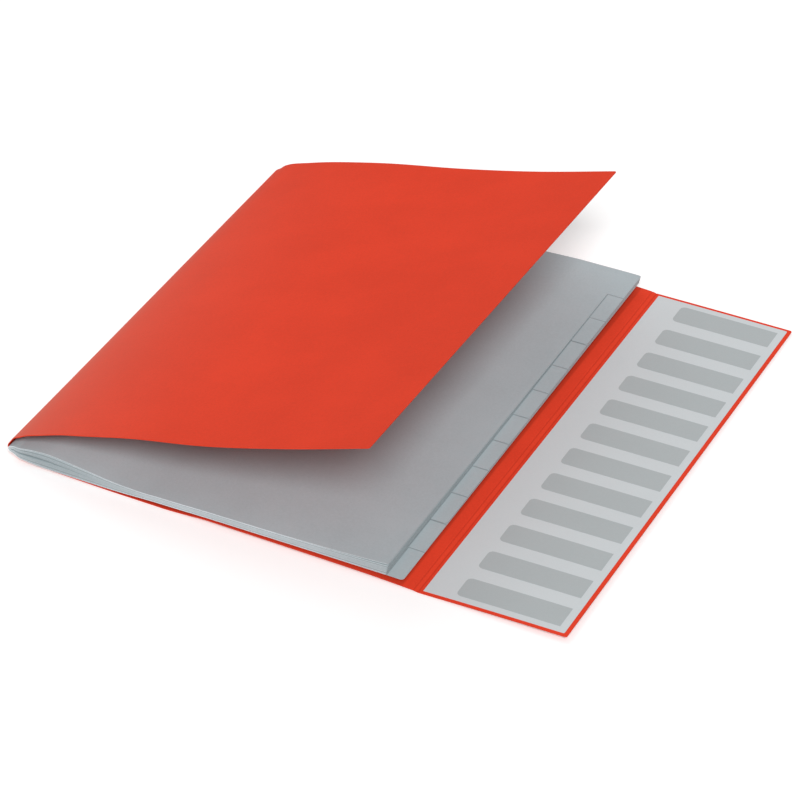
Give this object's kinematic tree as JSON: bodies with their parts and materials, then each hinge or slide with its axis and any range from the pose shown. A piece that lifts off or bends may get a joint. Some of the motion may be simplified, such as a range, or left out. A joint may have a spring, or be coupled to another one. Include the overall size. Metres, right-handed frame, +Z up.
{
  "type": "file sorter",
  "caption": "Card file sorter lying open: raised front cover, nested folded divider sheets with stepped tabs, and a label flap with writing fields.",
  "frame": {"origin": "on the table, under the middle of the whole sorter", "axes": "+X from the spine to the label flap, +Y along the spine, away from the near end, +Z up from the table"},
  "size_m": [0.3456, 0.3214, 0.0853],
  "materials": {
    "cover_card": "matt, recycled fibre",
    "divider_card": "matt, recycled fibre",
    "panel_paper": "matt",
    "field_print": "matt"
  },
  "bodies": {
    "back_cover_and_dividers": {"back_cover_with_flap": "cover_card", "label_panel": "panel_paper", "label_field_01": "field_print", "label_field_02": "field_print", "label_field_03": "field_print", "label_field_04": "field_print", "label_field_05": "field_print", "label_field_06": "field_print", "label_field_07": "field_print", "label_field_08": "field_print", "label_field_09": "field_print", "label_field_10": "field_print", "label_field_11": "field_print", "label_field_12": "field_print", "divider_sheet_1": "divider_card", "divider_sheet_2": "divider_card", "divider_sheet_3": "divider_card", "divider_sheet_4": "divider_card", "divider_sheet_5": "divider_card", "divider_sheet_6": "divider_card"},
    "raised_cover": {"front_cover": "cover_card"}
  },
  "joints": [
    {"name": "front_cover_hinge", "type": "hinge", "parent": "back_cover_and_dividers", "child": "raised_cover", "pos_m": [-0.17069, 0.00067, 0.00782], "axis": [0.0134, -0.9999, 0], "range_deg": [-15, 160]}
  ]
}
